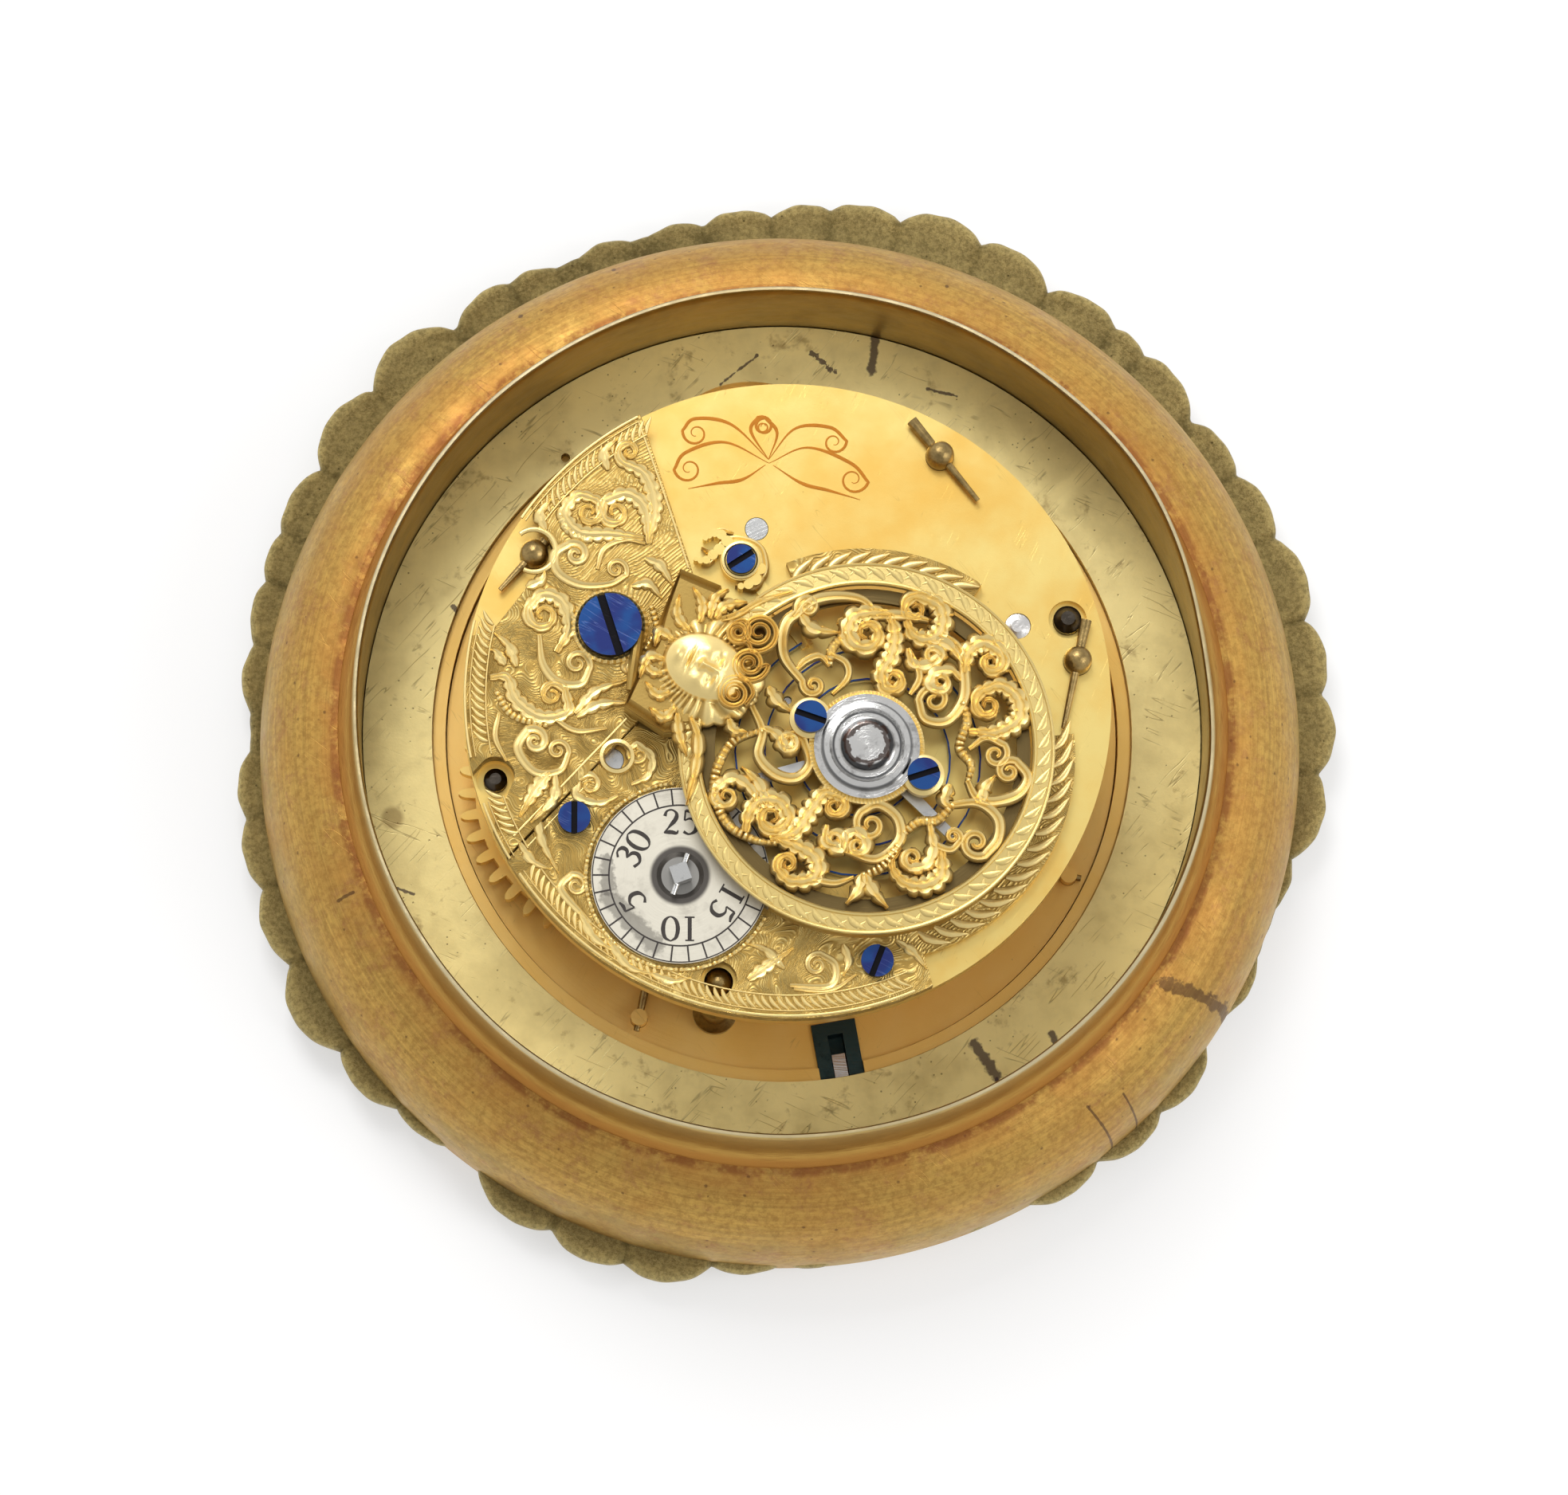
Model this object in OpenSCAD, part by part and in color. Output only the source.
// Verge and fusee watch movement, seen from its back plate, in a scalloped setting ring.
// Millimetres. The dial side faces down and the setting ring stands on Z = 0.
// The origin is on the dial's centre line, which is the axis of the centre wheel.

/* [Setting ring] */
// How far the flange stands out of the rounded body, between its lobes
flange_w = 0.6; // [0.3:0.1:1]
// Thickness of the flange
flange_t = 1.5; // [1.2:0.1:1.6]
// Height of the front bezel below the flange
bezel_h = 1; // [0.8:0.1:1.2]
// How far the front bezel's foot lies inside the rounded body
bezel_in = 1.8; // [1.2:0.1:3]
// How far the flange lies off the collar's axis, as the hand-made casting does
flange_shift = 1; // [0:0.1:1.2]
// Radius of the rounded end of a lobe
lobe_r = 3.6; // [3:0.1:4.5]
// Width of the rounded body from the collar to the flange
body_w = 5.7; // [5:0.1:6]
// Height at which the rounded body meets the flange
body_foot_z = 2.6; // [2.5:0.1:3.2]
// Height of the rounded body where it meets the collar
body_top_z = 9.3; // [8.8:0.1:10]
// Width of the ledge inside the collar, on which the pale plate lies
ledge_w = 1; // [0.8:0.1:1.3]
// Wall of the collar at its lip
collar_t = 0.35; // [0.25:0.05:0.5]
// Extra width of the collar at its foot
collar_flare = 0.9; // [0.5:0.1:1.1]
// Height of the collar lip above the pale plate
collar_rise = 7.9; // [7:0.1:8.6]

/* [Pale plate and brass edge] */
// Height of the pale plate's upper face
plate_top = 6.6; // [6.4:0.1:7]
// Thickness of the pale plate
plate_t = 1; // [0.8:0.1:1.2]
// Radius of the opening in the pale plate
opening_r = 19.1; // [19:0.1:19.4]
// Radial wall of the brass edge beside the pillar plate
edge_wall = 0.65; // [0.5:0.05:0.8]
// How far the brass edge reaches under the pale plate
edge_lap = 1.1; // [0.8:0.1:1.3]
// How far the brass edge stands below the pale plate's upper face
edge_drop = 0.6; // [0.4:0.1:0.9]
// Radial play between the brass edge and the pale plate
edge_gap = 0.08; // [0.05:0.01:0.15]

/* [Dial and hands] */
// How far the dial reaches past the opening in the pale plate
dial_lap = 1.5; // [1.3:0.1:1.8]
// Gap between the dial and the front opening
dial_gap = 1.3; // [0.9:0.1:1.6]
// Thickness of the dial
dial_t = 0.9; // [0.7:0.1:1.1]
// Height of the dial's front face above the table
dial_z = 1.6; // [1.5:0.1:1.8]
// Length of the minute hand
minute_len = 16.5; // [14:0.5:18]
// Length of the hour hand
hour_len = 11; // [9:0.5:12]
// Thickness of a hand
hand_t = 0.25; // [0.2:0.05:0.3]

/* [Plates and pillars] */
// Depth of the pillar plate's upper face below the pale plate's upper face
pillar_plate_drop = 1.2; // [1:0.1:1.5]
// Thickness of the pillar plate
pillar_plate_t = 1.3; // [1.1:0.1:1.5]
// Height of the back plate's upper face above the pale plate's upper face
back_rise = 10.1; // [9.9:0.1:10.6]
// Thickness of the back plate
back_t = 1.1; // [1:0.1:1.3]
// How much smaller the back plate's radius is than the pillar plate's
back_inset = 1.04; // [0.9:0.02:1.2]
// Distance from the pillars' axes to the back plate's edge
pillar_inset = 1.65; // [1.5:0.05:1.8]
// Angles of the pillars round the plate
pillar_angles = [8, 58.5, 150, 256.5]; // [0:0.5:360]
// Angles of the taper pins, one for each pinned pillar
pin_angles = [258, 309, 228]; // [0:1:360]
// How far each taper pin's thick end stands behind its pillar
pin_backs = [2.2, 2.4, 0.9]; // [0.8:0.1:2.6]
// Radius of a pillar's shaft
pillar_r = 0.75; // [0.6:0.05:0.9]
// Radius of a pillar's spigot in the back plate
spigot_r = 0.75; // [0.65:0.05:0.8]
// How far a spigot's round end stands above the back plate
spigot_out = 1.25; // [1.1:0.05:1.4]
// Length of each taper pin
pin_lens = [6, 5.6, 3.6]; // [3:0.1:6.4]
// Radius of a taper pin at its thick end
pin_r = 0.3; // [0.2:0.05:0.35]

/* [Barrel and fusee] */
// Place of the barrel's axis
barrel_at = [-1.65, 9.3]; // [-10:0.05:10]
// Outer radius of the barrel
barrel_r = 6.9; // [6.6:0.1:7]
// Height of the barrel
barrel_h = 6.6; // [6:0.1:6.8]
// Wall of the barrel
barrel_wall = 0.45; // [0.35:0.05:0.6]
// Height of the barrel's foot above the pillar plate
barrel_lift = 2.7; // [2.6:0.1:2.8]
// Thickness of the mainspring
spring_t = 0.18; // [0.14:0.02:0.22]
// Turns of the mainspring
spring_turns = 7; // [5:1:8]
// Angle from the dial's centre to the fusee's axis
fusee_angle = 199.5; // [197:0.5:202]
// Radius of the fusee at its wide end
fusee_wide_r = 6.2; // [6:0.1:6.4]
// Radius of the fusee at its narrow end
fusee_narrow_r = 3.4; // [3.2:0.1:3.8]
// Height of the grooved part of the fusee
fusee_h = 6.2; // [5.8:0.1:6.4]
// Width of the chain, across the fusee's groove
chain_w = 0.3; // [0.24:0.02:0.36]
// Height of the chain
chain_h = 0.5; // [0.4:0.05:0.55]
// Turns of chain left on the fusee, and as many on the barrel
chain_turns = 3.25; // [2.25:1:4.25]
// Running gap between the chain and what it lies on
chain_gap = 0.06; // [0.05:0.01:0.1]
// Radius of the winding ratchet that holds the barrel's arbor
ratchet_r = 1.8; // [1.6:0.1:1.8]

/* [Going train] */
// Teeth on the great wheel
great_teeth = 40; // [38:1:42]
// Leaves on the centre pinion
centre_leaves = 10; // [10:1:11]
// Module of the great wheel's teeth
great_module = 0.395; // [0.385:0.005:0.4]
// Thickness of the great wheel
great_t = 0.9; // [0.7:0.1:1]
// Teeth on the centre wheel
centre_teeth = 54; // [53:1:55]
// Leaves on the third pinion
third_leaves = 6; // [6:1:6]
// Module of the centre wheel's teeth
centre_module = 0.2613; // [0.26:0.0001:0.263]
// Angle from the dial's centre to the third wheel's axis
third_angle = 276; // [275:0.5:277]
// Teeth on the third wheel
third_teeth = 48; // [47:1:49]
// Leaves on the contrate pinion
contrate_leaves = 6; // [6:1:6]
// Module of the third wheel's teeth
third_module = 0.1715; // [0.17:0.0005:0.173]
// Teeth on the contrate wheel
contrate_teeth = 48; // [46:1:50]
// Leaves on the crown wheel's pinion
crown_leaves = 6; // [6:1:6]
// Module of the contrate wheel's teeth
contrate_module = 0.1417; // [0.14:0.0001:0.143]
// Thickness of the smaller wheels
wheel_t = 0.42; // [0.35:0.01:0.45]
// Width of a wheel's rim and of its crossings
crossing_w = 0.75; // [0.6:0.05:0.9]
// Radius of an arbor
arbor_r = 0.35; // [0.3:0.05:0.4]
// Radius of a pivot
pivot_r = 0.2; // [0.16:0.01:0.24]
// Radius of the large pivots of the fusee and the barrel, whose polished ends show in the back plate
big_pivot_r = 0.6; // [0.55:0.01:0.65]
// Running gap round a pivot
pivot_gap = 0.03; // [0.02:0.01:0.05]

/* [Verge escapement] */
// Place of the balance's axis
balance_at = [4.1, -3.05]; // [-10:0.05:10]
// Outer radius of the crown wheel
crown_r = 2.8; // [2.6:0.1:2.9]
// Teeth on the crown wheel
crown_teeth = 15; // [13:2:15]
// Height of the crown wheel's axis above the pillar plate
crown_lift = 6.2; // [6.1:0.1:6.3]
// Radius that the verge's pallets sweep
pallet_r = 0.78; // [0.6:0.02:0.8]
// Distance from the verge's axis to the crown wheel's tooth tips
crown_stand = 0.86; // [0.84:0.01:0.9]
// Angle between the two pallets
pallet_spread = 100; // [90:5:110]
// Radius of the verge staff
verge_r = 0.24; // [0.2:0.01:0.26]
// Outer radius of the balance
balance_r = 8.7; // [8.4:0.1:8.75]
// Width of the balance's rim
balance_rim_w = 0.7; // [0.5:0.05:0.9]
// Height of the balance's rim
balance_rim_h = 0.5; // [0.4:0.05:0.6]
// Turns of the balance spring
hair_turns = 4; // [3:1:5]
// Thickness of the balance spring
hair_t = 0.09; // [0.07:0.01:0.12]

/* [Balance cock] */
// Thickness of the cock's foot
foot_t = 1.3; // [1.1:0.1:1.4]
// Outer radius of the cock's pierced table
table_r = 9.95; // [9.8:0.05:10.05]
// Width of the table's engraved rim
table_rim_w = 1.1; // [1:0.05:1.2]
// Thickness of the table
table_t = 0.5; // [0.4:0.05:0.6]
// Clear height between the back plate and the table
table_lift = 2.4; // [2.3:0.05:2.6]
// Width of a scroll in the pierced table
scroll_w = 0.45; // [0.35:0.05:0.6]
// Number of interlaced scrolls in the table
scroll_count = 9; // [7:1:11]
// Radius of the polished steel cap
cap_r = 2.8; // [2.6:0.05:2.85]
// Height of the cap
cap_h = 1.05; // [0.9:0.05:1.2]
// Distance of the cap screws from the balance's axis
cap_screw_at = 3.35; // [3.3:0.05:3.45]
// Angle of the line through the cap screws
cap_screw_angle = 153; // [148:1:158]
// Place of the mask on the neck of the cock
mask_at = [-4.2, 1.05]; // [-10:0.05:10]
// Radius of the mask
mask_r = 2.8; // [2.4:0.1:3]
// Place of the large screw in the cock's foot
cock_screw_at = [-9.45, 3.7]; // [-12:0.05:12]

/* [Regulator] */
// Place of the regulator disc
disc_at = [-5.7, -9.7]; // [-12:0.05:12]
// Radius of the regulator disc
disc_r = 4.7; // [4.5:0.1:4.8]
// Thickness of the regulator disc
disc_t = 0.28; // [0.2:0.02:0.34]
// Thickness of the figure plate
figure_t = 1.05; // [1:0.05:1.1]
// Teeth on a full circle of the regulator's rack
rack_teeth = 84; // [84:1:84]
// Leaves on the regulator's pinion
regulator_leaves = 10; // [10:1:10]
// Outer radius of the feather border round the balance
border_r = 11.15; // [11:0.05:11.2]
// Side of the square that the key turns
key_square = 0.95; // [0.8:0.05:1.1]

/* [Screws, studs and latch] */
// Head radius of the large cock screw
big_head_r = 1.68; // [1.5:0.02:1.8]
// Head radius of the small blued screws
small_head_r = 0.86; // [0.75:0.01:0.9]
// Height of a small screw's head
head_h = 0.42; // [0.35:0.01:0.5]
// Width of a screw's slot
slot_w = 0.32; // [0.24:0.02:0.36]
// Width of the slot in the cock's large screw
big_slot_w = 0.44; // [0.36:0.02:0.5]
// Gap round a screw or a fixed pin
fit_gap = 0.02; // [0.01:0.01:0.04]
// Angle of the latch round the plate
latch_angle = 280; // [276:1:284]
// Width of the latch plate
latch_w = 2.4; // [2:0.1:2.8]
// Length of the latch plate
latch_l = 3.12; // [3:0.02:3.2]
// How far the bolt slides to let go
latch_travel = 1; // [0.6:0.1:1.2]

/* [Hidden] */
$fn = 96;

gilt = "#e0a83c";
bright_gilt = "#f0b848";
pale_brass = "#c8b060";
steel = "#9a9a98";
blued = "#1c3a96";
silvered = "#e4e2da";

// Cut-through length added past a face so that a hole is open
past = 1;

// Heights of the plates
pillar_top = plate_top - pillar_plate_drop;
pillar_low = pillar_top - pillar_plate_t;
back_top = plate_top + back_rise;
back_low = back_top - back_t;
edge_top = plate_top - edge_drop;
plate_low = plate_top - plate_t;
lip_z = plate_top + collar_rise;
dial_back = dial_z + dial_t;

// The brass edge stands inside the opening and laps under the pale plate
edge_r = opening_r - edge_gap;
pillar_plate_r = edge_r - edge_wall - edge_gap;
edge_seat_w = 0.8;
edge_low_r = edge_r + edge_lap;
latch_in = edge_r - latch_l;

// Radii that follow from the opening outwards, and inwards to the back plate
dial_r = opening_r + dial_lap;
front_r = dial_r + dial_gap;
collar_r = front_r + ledge_w;
body_r = collar_r + body_w;
flange_r = body_r + flange_w;
bezel_r = body_r - bezel_in;
collar_foot_r = collar_r + collar_t + collar_flare;
back_r = pillar_plate_r - back_inset;
pillar_ring_r = back_r - pillar_inset;

// Angle of each lobe's middle and how far it stands out of the flange, as hand work left them
lobes = [[0.5, 1.7], [8, 1.6], [17, 1.6], [25.5, 1.1], [33, 0.7], [43, 1], [49, 0.8], [54, 1.1], [64.5, 1.4],
    [72, 1.7], [80.5, 1.3], [86.5, 0.9], [94, 0.6], [101.5, 0.3], [109.5, 0.3], [119, 0.5], [123.5, 0.7],
    [134.5, 1.5], [144.5, 1.4], [154.5, 1], [160.5, 0.8], [166.5, 0.8], [174, 0.6], [187, 0.8], [193.5, 1.1],
    [202, 1.3], [211.5, 1.9], [220.5, 1.3], [228, 0.7], [242, 1.7], [250.5, 2], [257.5, 2], [266, 1],
    [273.5, 0.6], [282.5, 0.3], [291.5, 0.5], [302, 1.1], [311, 1.2], [318.5, 1.1], [331, 0.5], [343.5, 0.3],
    [352, 1.4]];

// Places of the train's axes, each set by its pair of wheels
fusee_reach = (great_teeth + centre_leaves) * great_module / 2;
fusee_at = polar(fusee_reach, fusee_angle);
third_reach = (centre_teeth + third_leaves) * centre_module / 2;
third_at = polar(third_reach, third_angle);
contrate_reach = (third_teeth + contrate_leaves) * third_module / 2;
contrate_r = contrate_teeth * contrate_module / 2;
crown_pinion_r = crown_leaves * contrate_module / 2;
// The contrate wheel's axis lies under the crown wheel's arbor
contrate_at = [balance_at.x, third_at.y - sqrt(contrate_reach ^ 2 - (balance_at.x - third_at.x) ^ 2)];
crown_pinion_y = contrate_at.y + contrate_r;

// Heights in the train
centre_wheel_z = pillar_top + 0.3;
great_z = pillar_top + 1.35;
third_z = pillar_top + 2.65;
cone_z = great_z + great_t + 0.15;
cone_top = cone_z + fusee_h;
barrel_z = pillar_top + barrel_lift;
crown_z = pillar_top + crown_lift;
contrate_pitch_z = crown_z - crown_pinion_r;
contrate_rim_z = contrate_pitch_z - 0.24;
contrate_tip_z = contrate_pitch_z + 0.8 * contrate_module;

// Heights above the back plate
rack_z = back_top + 0.05;
rack_t = 0.3;
hair_z = back_top + 0.42;
hair_h = 0.3;
table_z = back_top + table_lift;
table_top = table_z + table_t;
figure_top = back_top + figure_t;
border_t = 0.8;
border_in_r = 9.9;
disc_z = figure_top + 0.05;
balance_z = disc_z + disc_t + 0.15;

// Motion work under the dial
motion_reach = 4.8;
cannon_leaves = 12;
minute_teeth = 48;
minute_leaves = 16;
hour_teeth = 48;
minute_module = 2 * motion_reach / (cannon_leaves + minute_teeth);
hour_module = 2 * motion_reach / (minute_leaves + hour_teeth);
minute_at = polar(motion_reach, 60);
motion_t = 0.4;
motion_z = pillar_low - 0.7;
hour_z = motion_z - 0.6;
cannon_tube_r = 0.62;
hour_tube_r = 0.95;
hand_gap = 0.25;
hour_hand_z = dial_z - hand_gap - hand_t;
minute_hand_z = hour_hand_z - hand_gap - hand_t;

// The regulator's pinion and rack mesh at this module
disc_reach = norm(disc_at - balance_at);
rack_module = 2 * disc_reach / (rack_teeth + regulator_leaves);
disc_angle = 360 + atan2(disc_at.y - balance_at.y, disc_at.x - balance_at.x);
rack_pitch_r = rack_teeth * rack_module / 2;
rack_inner_r = rack_pitch_r - 1.35;
curb_angle = 150;
curb_r = 6.9;
curb_pin_r = 0.1;
stud_angle = 119;
slide_recess_h = 0.5;
stud_t = 0.9;
hub_r = 3.05;
mask_h = 0.9;
neck_sink = 0.1;
neck_gap = 0.35;
neck_outline = [[-5.75, 6.5], [-3.6, 5.6], [-2.9, 2], [-5.2, -2.2], [-6.6, -2.3], [-8.7, -0.9]];

// Outline corners of the cock's foot and of the figure plate, on the back plate
foot_outline = [[-8.45, 17], [-5.05, 6.6], [-7.95, -1.4], [-15.7, -9.6], [-22, -2], [-17, 12]];
figure_outline = [[-8.1, -1.65], [-6.3, -2.3], [4.1, -3.05], [8.5, -18.5], [-6, -20], [-15.9, -10]];
figure_screws_at = [[-11.3, -6.6], [4.7, -14.2]];
stud_screw_at = [-2.5, 7.4];
// Overlapping drums of the stud's curl, its upper leaf and its lower fold, as [x, y, radius] from the screw
stud_drums = [
    [1.05, -0.45, 0.3], [-1.15, 0.6, 0.3], [-1.5, 0.3, 0.27], [-1.85, 0.02, 0.22], [-2.15, -0.02, 0.17],
    [-2.4, 0.06, 0.12], [-0.75, 1.05, 0.3], [-1.05, 1.4, 0.27], [-1.4, 1.5, 0.24], [-1.7, 1.35, 0.18],
    [-1.9, 1.2, 0.14], [0.75, -1, 0.35], [0.4, -1.3, 0.26], [0, -1.4, 0.18]
];
// Place, radius and height of each steel stud that shows in the back plate
steel_studs = [[polar(back_r - 4.3, 18.4), 0.68, 0.1], [polar(back_r - 1.65, 16.6), 0.75, 0.5],
    [polar(back_r - 1.15, 195.8), 0.62, 0.4]];
dark_hole_r = 1.02;
edge_feet_at = [for (a = [243.5, 334]) polar(pillar_plate_r - 0.92, a)];
foot_r = 0.45;
foot_collar = 0.35;
stop_stud_at = fusee_at + [-4.3, -4.9];
cap_screws_at = [for (k = [0, 180]) balance_at + polar(cap_screw_at, cap_screw_angle + k)];

function polar(r, a) = [r * cos(a), r * sin(a)];

// Closed outline of a toothed wheel. share and tip are the tooth's part of the pitch, at the pitch
// circle and at its end. add and ded are how far it stands out of and goes below that circle.
function teeth(n, m, share, tip, add, ded) = [for (k = [0:n - 1])
    for (p = [[-ded, -share * 0.62], [0, -share / 2], [0.6 * add, -share * 0.36], [add, -tip / 2],
            [add, tip / 2], [0.6 * add, share * 0.36], [0, share / 2], [-ded, share * 0.62]])
        polar(n * m / 2 + p[0] * m, 360 * (k + p[1]) / n)];
function wheel_teeth(n, m) = teeth(n, m, 0.4, 0.08, 1, 1.3);
function pinion_teeth(n, m) = teeth(n, m, 0.3, 0.12, 0.5, 1.5);

// Radius of the fusee's surface at a height, falling faster near its wide end
function cone_r(z) = let (s = min(1, max(0, (z - cone_z) / fusee_h)))
    fusee_wide_r + (fusee_narrow_r - fusee_wide_r) * s * (1.35 - 0.35 * s);

// Points of an Archimedean spiral from radius a to radius b, over an angle, n points
function spiral(a, b, from, to, n) = [for (i = [0:n]) polar(a + (b - a) * i / n, from + (to - from) * i / n)];

module at(p, z = 0) translate([p.x, p.y, z]) children();

module drum(r, z0, z1) translate([0, 0, z0]) cylinder(r = r, h = z1 - z0);

module ring(ro, ri, z0, z1) {
    difference() {
        drum(ro, z0, z1);
        drum(ri, z0 - past, z1 + past);
    }
}

module holes(places, r, z0, z1) for (p = places) at(p) drum(r, z0 - past, z1 + past);

// A cheese-headed screw whose head's underside is at z
module screw(p, z, head_r, head, shank_r, shank, slot_angle, slot = slot_w) {
    at(p) {
        difference() {
            drum(head_r, z, z + head);
            translate([0, 0, z + head]) rotate(slot_angle)
                cube([3 * head_r, slot, head], center = true);
        }
        drum(shank_r, z - shank, z);
    }
}

// A flat spoked wheel on its own axis, with a round seat for its arbor
module crossed_wheel(outline, rim_r, t, spokes, seat_r) {
    linear_extrude(t) difference() {
        polygon(outline);
        circle(r = seat_r);
        difference() {
            circle(r = rim_r);
            circle(r = seat_r + crossing_w);
            for (k = [0:spokes - 1]) rotate(k * 360 / spokes)
                translate([0, -crossing_w / 2]) square([rim_r + 1, crossing_w]);
        }
    }
}

// An arbor from plate to plate with a pivot at each end
module arbor(z0, z1, r) {
    drum(r, z0, z1);
    drum(pivot_r, z0 - 0.8, z1 + 0.8);
}

// Setting ring

// Point of the rounded body's section, from its foot at 0 degrees to the collar at 90
function body_point(a) = [collar_foot_r + (body_r - collar_foot_r) * cos(a),
    body_foot_z + (body_top_z - body_foot_z) * sin(a)];

module lobed_outline() {
    circle(r = flange_r);
    for (lobe = lobes) rotate(lobe[0]) translate([flange_r + lobe[1] - lobe_r, 0]) circle(r = lobe_r, $fn = 48);
}

module scalloped_ring() {
    color(gilt) difference() {
        union() {
            at(polar(flange_shift, 96), bezel_h) linear_extrude(flange_t) lobed_outline();
            rotate_extrude() polygon([[0, 0], [bezel_r, 0], [bezel_r + 0.8, bezel_h], [body_r, bezel_h],
                for (a = [0:7.5:90]) body_point(a), [0, body_top_z]]);
        }
        drum(front_r, -past, plate_low + past);
        drum(collar_r + collar_t + fit_gap, plate_low, body_top_z + past);
    }
}

module collar() {
    color(gilt) rotate_extrude() polygon([[collar_r, plate_low], [collar_r + collar_t, plate_low],
        [collar_r + collar_t, body_top_z], [collar_r + collar_t + collar_flare, body_top_z],
        [collar_r + collar_t + 0.45 * collar_flare, body_top_z + 0.7],
        [collar_r + collar_t + 0.1 * collar_flare, body_top_z + 2.2],
        [collar_r + collar_t, lip_z - 0.2], [collar_r + collar_t - 0.08, lip_z], [collar_r + 0.08, lip_z],
        [collar_r, lip_z - 0.2]]);
}

module mounting_plate() {
    notch_r = 5.6;
    color(pale_brass) difference() {
        ring(collar_r - 0.05, opening_r, plate_low, plate_top);
        at(polar(opening_r + 0.75 - notch_r, 97)) drum(notch_r, plate_low - past, plate_top + past);
        at([-11.9, 15.4]) drum(0.25, plate_low - past, plate_top + past);
    }
}

// Brass edge, which carries the pillar plate and the dial

module latch_window(grow, z0, z1) {
    rotate(latch_angle) translate([latch_in - grow, -latch_w / 2 - grow, z0])
        cube([edge_low_r + 0.5 - latch_in + 2 * grow, latch_w + 2 * grow, z1 - z0]);
}

module brass_edge() {
    color(bright_gilt) difference() {
        union() {
            drum(edge_r, dial_back, edge_top);
            drum(edge_low_r, dial_back, plate_low);
        }
        drum(pillar_plate_r + edge_gap, pillar_low, edge_top + past);
        drum(pillar_plate_r - edge_seat_w, dial_back - past, edge_top);
        latch_window(fit_gap, pillar_low - 0.6, edge_top + past);
        holes(edge_feet_at, foot_r + foot_collar + fit_gap, dial_back, pillar_low);
    }
}

module edge_feet() {
    color(gilt) for (p = edge_feet_at) difference() {
        at(p) {
            drum(foot_r, dial_back, pillar_top + 0.95);
            drum(foot_r + foot_collar, dial_back, pillar_low - 0.05);
        }
        foot_pin(p, pin_r * 0.8 + fit_gap);
    }
}

module foot_pin(p, r) {
    at(p, pillar_top + 0.45) rotate(atan2(p.y, p.x) + 15) translate([-1.5, 0, 0]) rotate([0, 90, 0])
        cylinder(r1 = r, r2 = 0.7 * r, h = 2.2);
}

module foot_pins() color(gilt) for (p = edge_feet_at) foot_pin(p, pin_r * 0.8);

// Dial, hands and motion work

module dial() {
    color(silvered) ring(dial_r, hour_tube_r + 0.15, dial_z, dial_back);
}

module hand(len, hub_r, bore, w, spade_at, spade_r) {
    linear_extrude(hand_t) difference() {
        union() {
            circle(r = hub_r);
            polygon([[0, -w / 2], [len, -w / 8], [len, w / 8], [0, w / 2]]);
            translate([len * spade_at, 0]) circle(r = spade_r);
        }
        circle(r = bore);
        translate([len * spade_at, 0]) circle(r = spade_r * 0.55);
    }
}

module hour_hand() {
    color(blued) translate([0, 0, hour_hand_z]) rotate(-120)
        hand(hour_len, 1.7, hour_tube_r + fit_gap, 0.9, 0.66, 1.1);
}

module minute_hand() {
    color(blued) translate([0, 0, minute_hand_z]) rotate(150)
        hand(minute_len, 1.3, cannon_tube_r + fit_gap, 0.8, 0.3, 0.5);
}

module cannon_pinion() {
    color(steel) difference() {
        union() {
            translate([0, 0, motion_z]) linear_extrude(motion_t) rotate(60 + 180 / cannon_leaves)
                polygon(pinion_teeth(cannon_leaves, minute_module));
            drum(cannon_tube_r, minute_hand_z, motion_z + motion_t);
        }
        drum(arbor_r + fit_gap, minute_hand_z - past, motion_z + motion_t + past);
    }
}

module hour_wheel() {
    color(gilt) difference() {
        union() {
            translate([0, 0, hour_z]) linear_extrude(motion_t) rotate(60)
                polygon(wheel_teeth(hour_teeth, hour_module));
            drum(hour_tube_r, hour_hand_z, hour_z + motion_t);
        }
        drum(cannon_tube_r + 0.05, hour_hand_z - past, hour_z + motion_t + past);
    }
}

module minute_wheel() {
    color(gilt) at(minute_at) difference() {
        union() {
            translate([0, 0, motion_z]) linear_extrude(motion_t) rotate(240)
                polygon(wheel_teeth(minute_teeth, minute_module));
            translate([0, 0, hour_z]) linear_extrude(motion_z - hour_z) rotate(240 + 180 / minute_leaves)
                polygon(pinion_teeth(minute_leaves, hour_module));
        }
        drum(arbor_r + pivot_gap, hour_z - past, motion_z + motion_t + past);
    }
}

// Plates and pillars

function pillar_at(k) = polar(pillar_ring_r, pillar_angles[k]);

module pillar_plate() {
    color(bright_gilt) difference() {
        drum(pillar_plate_r, pillar_low, pillar_top);
        holes([barrel_at, fusee_at, third_at, contrate_at], pivot_r + pivot_gap, pillar_low, pillar_top);
        holes([[0, 0]], arbor_r + pivot_gap, pillar_low, pillar_top);
        holes(edge_feet_at, foot_r + fit_gap, pillar_low, pillar_top);
        for (k = [0:3]) at(pillar_at(k)) drum(spigot_r + fit_gap, pillar_low - past, pillar_top + past);
        latch_window(fit_gap, pillar_low - past, pillar_top + past);
    }
    // The minute wheel's post stands on the plate's dial side
    color(bright_gilt) at(minute_at) drum(arbor_r, hour_z, pillar_low);
}

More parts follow.
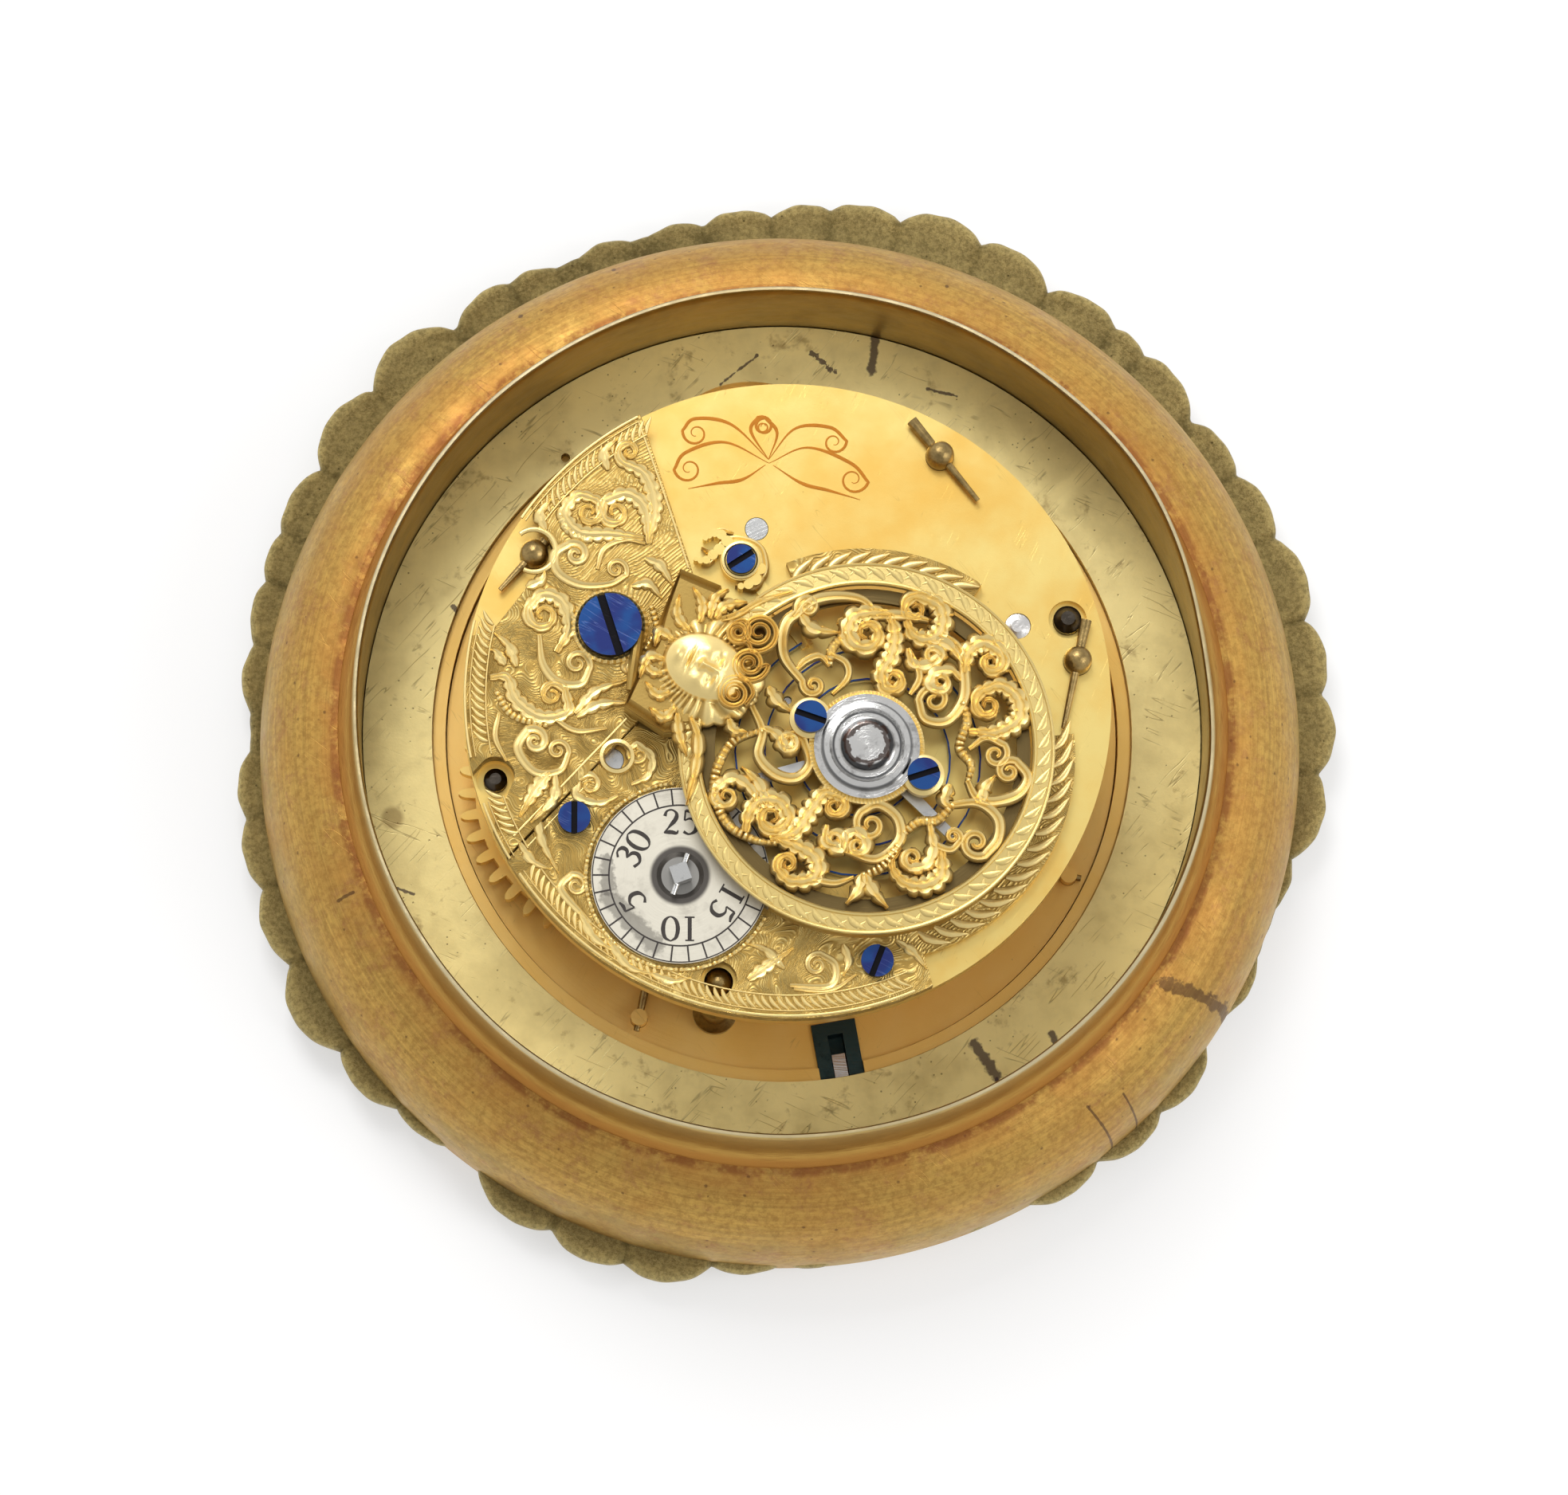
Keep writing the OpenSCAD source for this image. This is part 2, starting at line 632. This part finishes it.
// A turned pillar between the plates, with a round-ended spigot through each of them
module pillar(out) {
    mid = (pillar_top + back_low) / 2;
    drum(spigot_r, pillar_low, back_top + out - spigot_r);
    translate([0, 0, back_top + out - spigot_r]) sphere(r = spigot_r);
    rotate_extrude() polygon([[0, pillar_top], [pillar_r + 0.45, pillar_top], [pillar_r + 0.45, pillar_top + 0.5],
        [pillar_r, pillar_top + 0.9], [pillar_r - 0.1, mid - 2.6], [pillar_r + 0.1, mid - 1.2],
        [pillar_r + 0.35, mid], [pillar_r + 0.1, mid + 1.2], [pillar_r - 0.1, mid + 2.6],
        [pillar_r, back_low - 0.9], [pillar_r + 0.35, back_low - 0.5], [pillar_r + 0.35, back_low], [0, back_low]]);
}

module taper_pin(k, gap) {
    at(pillar_at(k), back_top + 0.5) rotate(pin_angles[k]) translate([-pin_backs[k], 0, 0]) rotate([0, 90, 0])
        cylinder(r1 = pin_r + gap, r2 = 0.45 * pin_r + gap, h = pin_lens[k]);
}

module pillars() {
    color(gilt) for (k = [0:3]) difference() {
        at(pillar_at(k)) pillar(k < len(pin_angles) ? spigot_out : 0.3);
        if (k < len(pin_angles)) taper_pin(k, fit_gap);
    }
}

module pillar_pins() color(gilt) for (k = [0:len(pin_angles) - 1]) taper_pin(k, 0);

module back_plate() {
    color(bright_gilt) difference() {
        drum(back_r, back_low, back_top);
        holes([third_at, contrate_at, [0, 0]], pivot_r + pivot_gap, back_low, back_top);
        holes([barrel_at, fusee_at], big_pivot_r + pivot_gap, back_low, back_top);
        holes([balance_at], pallet_r + 0.15, back_low, back_top);
        holes([disc_at], arbor_r + pivot_gap, back_low, back_top);
        holes([cock_screw_at], 0.8 + fit_gap, back_low, back_top);
        holes([for (p = figure_screws_at) p, stud_screw_at], 0.4 + fit_gap, back_low, back_top);
        for (k = [0:3]) at(pillar_at(k)) drum(spigot_r + fit_gap, back_low - past, back_top + past);
        for (s = steel_studs) at(s[0]) drum(s[1] + fit_gap, back_low - past, back_top + past);
        for (k = [1, 2]) at(steel_studs[k][0]) drum(dark_hole_r, back_top - 0.5, back_top + past);
    }
}

// Steel studs whose ends show in the back plate
module plate_studs() {
    color(steel) for (s = steel_studs) at(s[0]) {
        drum(s[1], back_low, back_top - 0.05);
        translate([0, 0, back_top - 0.05]) cylinder(r1 = s[1], r2 = 0.5 * s[1], h = s[2]);
    }
}

// Latch at the foot of the movement

module latch_plate() {
    color("#3c4848") rotate(latch_angle) difference() {
        translate([latch_in, -latch_w / 2, pillar_low - 0.6])
            cube([latch_l - 0.1, latch_w, pillar_top + 0.2 - (pillar_low - 0.6)]);
        translate([latch_in + 0.7, -0.42, pillar_low - 0.1])
            cube([edge_r, 0.84, past + pillar_top + 0.2 - (pillar_low - 0.1)]);
    }
}

module latch_bolt() {
    color(steel) rotate(latch_angle) translate([latch_in + 0.75 + latch_travel, -0.36, pillar_low])
        cube([latch_l - 0.87 - latch_travel, 0.72, 1.15]);
}

module latch_spring() {
    color(blued) rotate(latch_angle) translate([latch_in - 5.4, -0.3, pillar_low - 0.3]) cube([5.38, 0.6, 0.28]);
}

// Barrel

module barrel() {
    color(gilt) at(barrel_at) difference() {
        drum(barrel_r, barrel_z, barrel_z + barrel_h);
        drum(barrel_r - barrel_wall, barrel_z + 0.5, barrel_z + barrel_h + past);
        drum(0.8 + pivot_gap, barrel_z - past, barrel_z + 1);
    }
}

module barrel_cover() {
    color(gilt) at(barrel_at)
        ring(barrel_r - barrel_wall - fit_gap, 0.8 + pivot_gap, barrel_z + barrel_h - 0.5, barrel_z + barrel_h);
}

module barrel_arbor() {
    color(steel) at(barrel_at) {
        drum(0.8, pillar_top + 0.1, back_low - 0.15);
        drum(1.5, barrel_z + 0.6, barrel_z + barrel_h - 0.6);
        drum(pivot_r, pillar_low, pillar_top + 0.2);
        drum(big_pivot_r, back_low - 0.2, back_top);
    }
}

module mainspring() {
    steps = 24 * spring_turns;
    inner = 1.5 + fit_gap + spring_t / 2;
    outer = barrel_r - barrel_wall - fit_gap - spring_t / 2;
    color(steel) at(barrel_at, barrel_z + 0.7) linear_extrude(barrel_h - 1.4)
        polygon(concat(spiral(inner + spring_t / 2, outer + spring_t / 2, 0, 360 * spring_turns, steps),
            [for (i = [steps:-1:0]) polar(inner - spring_t / 2 + (outer - inner) * i / steps, 15 * i)]));
}

module setup_ratchet() {
    color(steel) at(barrel_at, pillar_top + 0.15) linear_extrude(0.5) difference() {
        polygon([for (k = [0:15]) for (p = [[ratchet_r - 0.35, 0], [ratchet_r, 20]]) polar(p[0], k * 22.5 + p[1])]);
        circle(r = 0.8 + fit_gap);
    }
}

module setup_click() {
    click_at = barrel_at + polar(ratchet_r + 1.1, 30);
    color(steel) {
        at(click_at) drum(0.5, pillar_top, pillar_top + 0.9);
        at(click_at, pillar_top + 0.15) rotate(118) translate([0, -0.2, 0]) cube([1.9, 0.4, 0.5]);
    }
}

// Fusee, great wheel and chain

module fusee_cone() {
    color(gilt) at(fusee_at) difference() {
        rotate_extrude() polygon([[0, cone_z],
            for (i = [0:12]) let (z = cone_z + fusee_h * i / 12) [cone_r(z), z], [0, cone_top]]);
        drum(arbor_r + 0.2 + fit_gap, cone_z - past, cone_top + past);
    }
}

module fusee_arbor() {
    color(steel) at(fusee_at) {
        drum(arbor_r + 0.2, pillar_top + 0.15, back_low - 0.15);
        drum(pivot_r, pillar_low, pillar_top + 0.2);
        drum(big_pivot_r, cone_top + 0.1, back_top);
        // The snail cap with the beak that the stop lever catches
        drum(fusee_narrow_r - 0.3, cone_top, cone_top + 0.35);
        translate([0, -0.4, cone_top]) cube([fusee_narrow_r + 0.2, 0.8, 0.35]);
    }
}

module great_wheel() {
    color(gilt) at(fusee_at, great_z) difference() {
        linear_extrude(great_t) rotate(fusee_angle + 180) polygon(wheel_teeth(great_teeth, great_module));
        drum(arbor_r + 0.2 + fit_gap, -past, great_t + past);
    }
}

// Centre line of the chain: wound on the fusee, straight across, wound on the barrel
chain_steps = 32;
chain_rise = 0.62;
chain_cross_z = cone_z + 0.3 + chain_turns * chain_rise;
// The straight run touches both the fusee and the barrel
chain_lean = asin((barrel_r - cone_r(chain_cross_z - chain_h / 2)) / norm(barrel_at - fusee_at));
cross_angle = atan2(barrel_at.y - fusee_at.y, barrel_at.x - fusee_at.x) + 90 + chain_lean;
function on_fusee(i) = let (z = chain_cross_z - chain_rise * i / chain_steps,
    a = cross_angle + 360 * i / chain_steps, r = cone_r(z - chain_h / 2) + chain_gap + chain_w / 2)
    [fusee_at + polar(r, a), z, a];
function on_barrel(i) = let (z = chain_cross_z + chain_rise * i / chain_steps,
    a = cross_angle - 360 * i / chain_steps, r = barrel_r + chain_gap + chain_w / 2)
    [barrel_at + polar(r, a), z, a];
chain_path = concat([for (i = [round(chain_turns * chain_steps):-1:0]) on_fusee(i)],
    [for (i = [0:round(chain_turns * chain_steps)]) on_barrel(i)]);

module fusee_chain() {
    n = len(chain_path);
    color(steel) polyhedron(
        points = [for (p = chain_path) for (c = [[-1, -1], [1, -1], [1, 1], [-1, 1]])
            let (q = p[0] + polar(c[0] * chain_w / 2, p[2])) [q.x, q.y, p[1] + c[1] * chain_h / 2]],
        faces = concat([[0, 1, 2, 3]], [[4 * n - 1, 4 * n - 2, 4 * n - 3, 4 * n - 4]],
            [for (i = [0:n - 2]) for (k = [0:3])
                [4 * i + k, 4 * i + 4 + k, 4 * i + 4 + (k + 1) % 4, 4 * i + (k + 1) % 4]]));
}

module stop_lever() {
    color(steel) at(stop_stud_at, cone_top + 0.05) difference() {
        union() {
            translate([-0.4, 0, 0]) cube([0.8, 9.4, 0.3]);
            translate([-0.4, -0.5, 0]) cube([0.8, 1, 0.7]);
        }
        translate([-past, 0, 0.35]) rotate([0, 90, 0]) cylinder(r = 0.2 + pivot_gap, h = 2 * past);
    }
}

module stop_stud() {
    color(steel) at(stop_stud_at) {
        for (s = [-1, 1]) translate([s * 0.8 - 0.3, -0.5, cone_top - 0.05]) cube([0.6, 1, back_low - cone_top + 0.05]);
        translate([-1, 0, cone_top + 0.4]) rotate([0, 90, 0]) cylinder(r = 0.2, h = 2);
    }
}

// Going train

module centre_wheel() {
    color(gilt) translate([0, 0, centre_wheel_z]) rotate(third_angle)
        crossed_wheel(wheel_teeth(centre_teeth, centre_module), 6.2, wheel_t, 4, arbor_r + 0.15 + fit_gap);
}

module centre_arbor() {
    color(steel) {
        drum(arbor_r, minute_hand_z, great_z);
        drum(arbor_r + 0.15, pillar_top + 0.1, great_z);
        drum(arbor_r, great_z, back_low - 0.1);
        drum(pivot_r, back_low - 0.2, back_top - 0.3);
        translate([0, 0, great_z - 0.1]) linear_extrude(great_t + 0.2) rotate(fusee_angle + 180 / centre_leaves)
            polygon(pinion_teeth(centre_leaves, great_module));
    }
}

module third_wheel() {
    color(gilt) at(third_at, third_z) rotate(atan2(contrate_at.y - third_at.y, contrate_at.x - third_at.x))
        crossed_wheel(wheel_teeth(third_teeth, third_module), 3.4, wheel_t, 4, arbor_r + fit_gap);
}

module third_arbor() {
    color(steel) at(third_at) {
        arbor(pillar_top + 0.1, back_low - 0.1, arbor_r);
        translate([0, 0, centre_wheel_z - 0.1]) linear_extrude(wheel_t + 0.3)
            rotate(third_angle + 180 + 180 / third_leaves) polygon(pinion_teeth(third_leaves, centre_module));
    }
}

module contrate_wheel() {
    rim_in = contrate_r - 0.16;
    rim_out = contrate_r + 0.16;
    pitch = contrate_module * 3.14;
    color(gilt) at(contrate_at) {
        translate([0, 0, contrate_rim_z - wheel_t])
            crossed_wheel([for (k = [0:95]) polar(rim_out, k * 3.75)], rim_in - 0.55, wheel_t, 4, arbor_r + fit_gap);
        // Teeth that stand on the rim, each a wedge whose sides narrow upwards
        for (k = [0:contrate_teeth - 1]) rotate(90 + k * 360 / contrate_teeth) translate([rim_in, 0, 0])
            rotate([90, 0, 90]) linear_extrude(rim_out - rim_in) polygon([
                [-0.24 * pitch, contrate_rim_z - 0.1], [0.24 * pitch, contrate_rim_z - 0.1],
                [0.17 * pitch, contrate_pitch_z], [0.05 * pitch, contrate_tip_z],
                [-0.05 * pitch, contrate_tip_z], [-0.17 * pitch, contrate_pitch_z]]);
    }
}

module contrate_arbor() {
    color(steel) at(contrate_at) {
        arbor(pillar_top + 0.1, back_low - 0.1, arbor_r);
        translate([0, 0, third_z - 0.15]) linear_extrude(wheel_t + 0.3)
            rotate(atan2(third_at.y - contrate_at.y, third_at.x - contrate_at.x) + 180 / contrate_leaves)
                polygon(pinion_teeth(contrate_leaves, third_module));
    }
}

// The crown wheel's own frame: Z runs from the verge outwards along its arbor
module along_crown() at(balance_at, crown_z) rotate([90, 0, 0]) children();

module crown_wheel() {
    tooth_h = 0.8;
    cup_top = crown_stand + 1.5;
    color(gilt) along_crown() {
        // The cup, whose web carries the arbor
        rotate_extrude() polygon([[arbor_r + fit_gap, cup_top - 0.4], [crown_r - 0.35, cup_top - 0.4],
            [crown_r - 0.35, crown_stand + tooth_h], [crown_r, crown_stand + tooth_h], [crown_r, cup_top],
            [arbor_r + fit_gap, cup_top]]);
        // Slanted teeth that stand on the cup's wall
        for (k = [0:crown_teeth - 1]) rotate((k + 0.5) * 360 / crown_teeth) rotate([90, 0, 90])
            translate([0, 0, crown_r - 0.33]) linear_extrude(0.28)
                polygon([[-0.26, crown_stand + tooth_h + 0.1], [-0.34, crown_stand], [-0.22, crown_stand],
                    [0.5, crown_stand + tooth_h - 0.15], [0.5, crown_stand + tooth_h + 0.1]]);
    }
}

module crown_arbor() {
    pinion_z = balance_at.y - crown_pinion_y;
    color(steel) along_crown() {
        drum(pivot_r * 0.7, 0.4, pinion_z + 1.3);
        drum(arbor_r, 0.9, pinion_z + 0.75);
        translate([0, 0, pinion_z - 0.35]) linear_extrude(0.7) rotate(-90 + 180 / crown_leaves)
            polygon(pinion_teeth(crown_leaves, contrate_module));
    }
}

// Potence, which carries the verge's lower pivot and the crown wheel's inner pivot
module potence() {
    side = crown_r + 0.4;
    foot_z = crown_z - crown_r - 1.2;
    color(gilt) at(balance_at) difference() {
        union() {
            translate([side, -1.6, foot_z]) cube([1.5, 2.6, back_low - foot_z]);
            translate([-0.7, -0.6, foot_z]) cube([side + 0.8, 1.2, 0.65]);
            translate([-0.45, -0.78, crown_z - 0.4]) cube([side + 0.5, 0.42, 0.8]);
        }
        drum(0.15 + pivot_gap, foot_z - past, foot_z + 0.7);
        translate([0, 0, crown_z]) rotate([90, 0, 0]) cylinder(r = pivot_r * 0.7 + pivot_gap, h = 2);
    }
}

module counter_potence() {
    near = balance_at.y - crown_pinion_y + 0.9;
    color(gilt) at(balance_at) difference() {
        translate([-0.6, -near - 0.8, crown_z - 0.42]) cube([1.2, 0.8, back_low - crown_z + 0.42]);
        translate([0, -near + past, crown_z]) rotate([90, 0, 0]) cylinder(r = pivot_r * 0.7 + pivot_gap, h = 3);
    }
}

// Balance

module verge_staff() {
    foot_z = crown_z - crown_r - 1.2;
    color(steel) at(balance_at) {
        drum(0.15, foot_z + 0.1, table_top - 0.05);
        drum(verge_r, foot_z + 0.75, hair_z);
        drum(0.6, hair_z - 0.05, hair_z + hair_h);
        drum(0.45, hair_z, table_z - 0.15);
        for (s = [-1, 1]) translate([0, 0, crown_z + s * (crown_r - 0.18) - 0.3]) rotate(-90 + s * pallet_spread / 2)
            translate([0, -0.1, 0]) cube([pallet_r, 0.2, 0.6]);
    }
}

module balance_wheel() {
    color(steel) at(balance_at, balance_z) {
        difference() {
            union() {
                ring(balance_r, balance_r - balance_rim_w, 0, balance_rim_h);
                cylinder(r = 1.2, h = balance_rim_h);
                for (a = [75, 195, 315]) rotate(a) linear_extrude(0.3)
                    polygon([[0, -0.4], [balance_r - 0.3, -0.22], [balance_r - 0.3, 0.22], [0, 0.4]]);
            }
            drum(0.45 + fit_gap, -past, past);
        }
    }
}

// Radius of the balance spring, by degrees before its outer end: round at the curb pins, then inwards
hair_inner_r = 0.6 + hair_t / 2 + fit_gap;
function hair_r(back) = back <= 60 ? curb_r : back <= 360 ? curb_r - 1.3 * (back - 60) / 300
    : curb_r - 1.3 - (curb_r - 1.3 - hair_inner_r) * (back - 360) / (360 * (hair_turns - 1));

module balance_spring() {
    backs = [for (b = [360 * hair_turns:-10:0]) b];
    color(blued) at(balance_at, hair_z) linear_extrude(hair_h) polygon(concat(
        [for (b = backs) polar(hair_r(b) + hair_t / 2, stud_angle + b)],
        [for (i = [len(backs) - 1:-1:0]) polar(hair_r(backs[i]) - hair_t / 2, stud_angle + backs[i])]));
}

// Scrolled stud, whose arm runs under the balance and holds the spring's outer end in a block
module spring_stud() {
    block_at = balance_at + polar(curb_r, stud_angle - 1.5);
    arm = norm(block_at - stud_screw_at);
    color(bright_gilt) difference() {
        union() {
            at(stud_screw_at) {
                drum(1.1, back_top, back_top + stud_t);
                for (one = stud_drums) at([one.x, one.y]) drum(one.z, back_top, back_top + stud_t);
            }
            at(stud_screw_at, back_top) rotate(atan2(block_at.y - stud_screw_at.y, block_at.x - stud_screw_at.x))
                translate([0, -0.35, 0]) cube([arm + 0.2, 0.7, hair_z - back_top - 0.06]);
            at(block_at, back_top) rotate(stud_angle) translate([-0.35, -0.3, 0])
                cube([0.9, 0.24, hair_z + hair_h + 0.1 - back_top]);
        }
        at(stud_screw_at) drum(0.4 + fit_gap, back_top - past, back_top + stud_t + past);
    }
}

module stud_screw() {
    color(blued) screw(stud_screw_at, back_top + stud_t, 0.78, head_h, 0.4, stud_t + back_t, 33);
}

// Balance cock

// A sector between two angles, wide enough to cut any ring round the balance
module wedge(from, to) {
    steps = ceil((to - from) / 30);
    polygon(concat([[0, 0]], [for (i = [0:steps]) polar(20, from + (to - from) * i / steps)]));
}

module cock_foot() {
    difference() {
        linear_extrude(foot_t) intersection() {
            circle(r = back_r - 0.05);
            polygon(foot_outline);
        }
        // Room for the pinned pillar at the foot's edge and for the sunk hole
        at(pillar_at(2), -past) {
            cylinder(r = spigot_r + 0.6, h = foot_t + 2 * past);
            rotate(pin_angles[2]) translate([-1.2, -0.65, 0]) cube([pin_lens[2] + 1, 1.3, foot_t + 2 * past]);
        }
        at(steel_studs[2][0], -past) cylinder(r = dark_hole_r, h = foot_t + 2 * past);
    }
}

module cock_table() {
    rim_in = table_r - table_rim_w;
    scroll_r = (rim_in - hub_r) / 2 + 0.2;
    linear_extrude(table_t) difference() {
        union() {
            difference() {
                circle(r = table_r);
                circle(r = rim_in);
            }
            circle(r = hub_r);
            for (k = [0, 180]) rotate(cap_screw_angle + k) translate([cap_screw_at, 0]) circle(r = small_head_r + 0.25);
            for (k = [0:scroll_count - 1]) rotate(cap_screw_angle + (k + 0.5) * 360 / scroll_count)
                translate([(rim_in + hub_r) / 2, 0]) difference() {
                    circle(r = scroll_r);
                    circle(r = scroll_r - scroll_w);
                }
        }
        circle(r = 0.15 + pivot_gap);
        for (k = [0, 180]) rotate(cap_screw_angle + k) translate([cap_screw_at, 0]) circle(r = 0.38 + fit_gap);
    }
}

module balance_cock() {
    color(bright_gilt) difference() {
        union() {
            translate([0, 0, back_top]) cock_foot();
            // The neck rises from the foot to the table, and is cut back round the balance
            difference() {
                translate([0, 0, back_top + foot_t - neck_sink])
                    linear_extrude(table_lift + table_t - foot_t + neck_sink) polygon(neck_outline);
                at(balance_at) drum(balance_r + neck_gap, back_top, table_z);
            }
            at(balance_at, table_z) cock_table();
            at(mask_at, table_z) rotate_extrude() polygon(concat([[0, 0], [mask_r, 0]],
                [for (a = [0:10:90]) [mask_r * cos(a), table_t + mask_h * sin(a)]]));
        }
        at(cock_screw_at) drum(0.8 + fit_gap, back_top - past, back_top + foot_t + past);
    }
}

module cock_screw() {
    color(blued) screw(cock_screw_at, back_top + foot_t, big_head_r, 0.6, 0.8, foot_t + back_t, 108, big_slot_w);
}

module balance_cap() {
    color(silvered) at(balance_at, table_top) rotate_extrude() polygon([[0, 0.2], [0.3, 0.2], [0.3, 0],
        [cap_r, 0], [cap_r, 0.3], [2.45, 0.3], [2.35, 0.65 * cap_h], [2, 0.7 * cap_h], [1.85, 0.6 * cap_h],
        [1.5, 0.6 * cap_h], [1.35, 0.95 * cap_h], [1.1, cap_h], [0, cap_h]]);
}

module cap_screws() {
    color(blued) for (k = [0, 1])
        screw(cap_screws_at[k], table_top + 0.3, small_head_r, head_h, 0.38, 0.3 + table_t, [161, 18][k]);
}

// Regulator: a numbered disc whose pinion moves a rack with the curb pins

module figure_plate() {
    color(bright_gilt) difference() {
        union() {
            translate([0, 0, back_top]) linear_extrude(figure_t) difference() {
                intersection() {
                    circle(r = back_r);
                    polygon(figure_outline);
                }
                translate(balance_at) circle(r = border_in_r);
            }
            // The feather border, which narrows to a point beside the balance
            at(balance_at, back_top) linear_extrude(border_t) intersection() {
                difference() {
                    circle(r = border_r);
                    translate(polar(-0.9, 11)) circle(r = border_in_r + 0.3);
                    circle(r = border_in_r);
                }
                wedge(280, 366);
            }
        }
        at(balance_at, back_top - past) linear_extrude(slide_recess_h + past) intersection() {
            circle(r = rack_pitch_r + rack_module + 0.12);
            wedge(disc_angle - 90, disc_angle + 50);
        }
        at(disc_at) {
            drum(regulator_leaves * rack_module / 2 + rack_module, back_top - past, back_top + slide_recess_h);
            drum(arbor_r + 0.1 + pivot_gap, back_top, figure_top + past);
        }
        holes(figure_screws_at, 0.4 + fit_gap, back_top, figure_top);
        holes([pillar_at(3)], spigot_r + 0.2, back_top, figure_top);
        holes([fusee_at], big_pivot_r + 0.2, back_top, figure_top);
    }
}

module slide_end_plate() {
    color(bright_gilt) at(balance_at, back_top) linear_extrude(border_t) intersection() {
        difference() {
            circle(r = border_r);
            translate(polar(-0.9, 57)) circle(r = border_in_r + 0.3);
            circle(r = border_in_r);
        }
        wedge(56, 112);
    }
}

module figure_screws() {
    color(blued) for (k = [0, 1])
        screw(figure_screws_at[k], figure_top, small_head_r, head_h, 0.4, figure_t + back_t, [90, 69][k]);
}

module regulator_disc() {
    color(silvered) at(disc_at) difference() {
        drum(disc_r, disc_z, disc_z + disc_t);
        drum(arbor_r + 0.1 + fit_gap, disc_z - past, disc_z + disc_t + past);
        translate([0, 0, disc_z + disc_t / 2]) cylinder(r1 = 1, r2 = 1.5, h = disc_t);
    }
}

module regulator_arbor() {
    color(steel) at(disc_at) {
        drum(arbor_r, back_low + 0.1, back_top + slide_recess_h);
        drum(arbor_r + 0.1, back_top + 0.1, disc_z + disc_t + 0.5);
        translate([0, 0, rack_z]) linear_extrude(rack_t + 0.05) rotate(disc_angle + 180 + 180 / regulator_leaves)
            polygon(pinion_teeth(regulator_leaves, rack_module));
        translate([0, 0, disc_z + disc_t + 0.5]) rotate(20) cube([key_square, key_square, 1], center = true);
        translate([0, 0, disc_z + disc_t + 0.35]) rotate(70) rotate([0, 90, 0])
            cylinder(r = 0.16, h = 2.3, center = true);
    }
}

module regulator_rack() {
    color(steel) at(balance_at, rack_z) {
        linear_extrude(rack_t) difference() {
            intersection() {
                rotate(disc_angle) polygon(wheel_teeth(rack_teeth, rack_module));
                wedge(curb_angle - 4, disc_angle + 24);
            }
            circle(r = rack_inner_r);
        }
        rotate(curb_angle) {
            translate([curb_r - 0.4, -0.3, 0]) cube([rack_inner_r + 0.3 - curb_r + 0.4, 0.6, 0.25]);
            for (s = [-1, 1]) translate([curb_r + s * (hair_t / 2 + curb_pin_r + 0.05), 0, 0])
                cylinder(r = curb_pin_r, h = hair_z + hair_h + 0.05 - rack_z);
        }
    }
}

scalloped_ring();
collar();
mounting_plate();
brass_edge();
edge_feet();
foot_pins();
dial();
hour_hand();
minute_hand();
cannon_pinion();
hour_wheel();
minute_wheel();
pillar_plate();
pillars();
back_plate();
pillar_pins();
latch_plate();
latch_bolt();
latch_spring();
barrel();
barrel_cover();
barrel_arbor();
mainspring();
setup_ratchet();
setup_click();
fusee_cone();
fusee_arbor();
great_wheel();
fusee_chain();
stop_lever();
stop_stud();
centre_wheel();
centre_arbor();
third_wheel();
third_arbor();
contrate_wheel();
contrate_arbor();
crown_wheel();
crown_arbor();
potence();
counter_potence();
verge_staff();
balance_wheel();
balance_spring();
spring_stud();
stud_screw();
balance_cock();
cock_screw();
balance_cap();
cap_screws();
figure_plate();
slide_end_plate();
figure_screws();
regulator_disc();
regulator_arbor();
regulator_rack();
plate_studs();
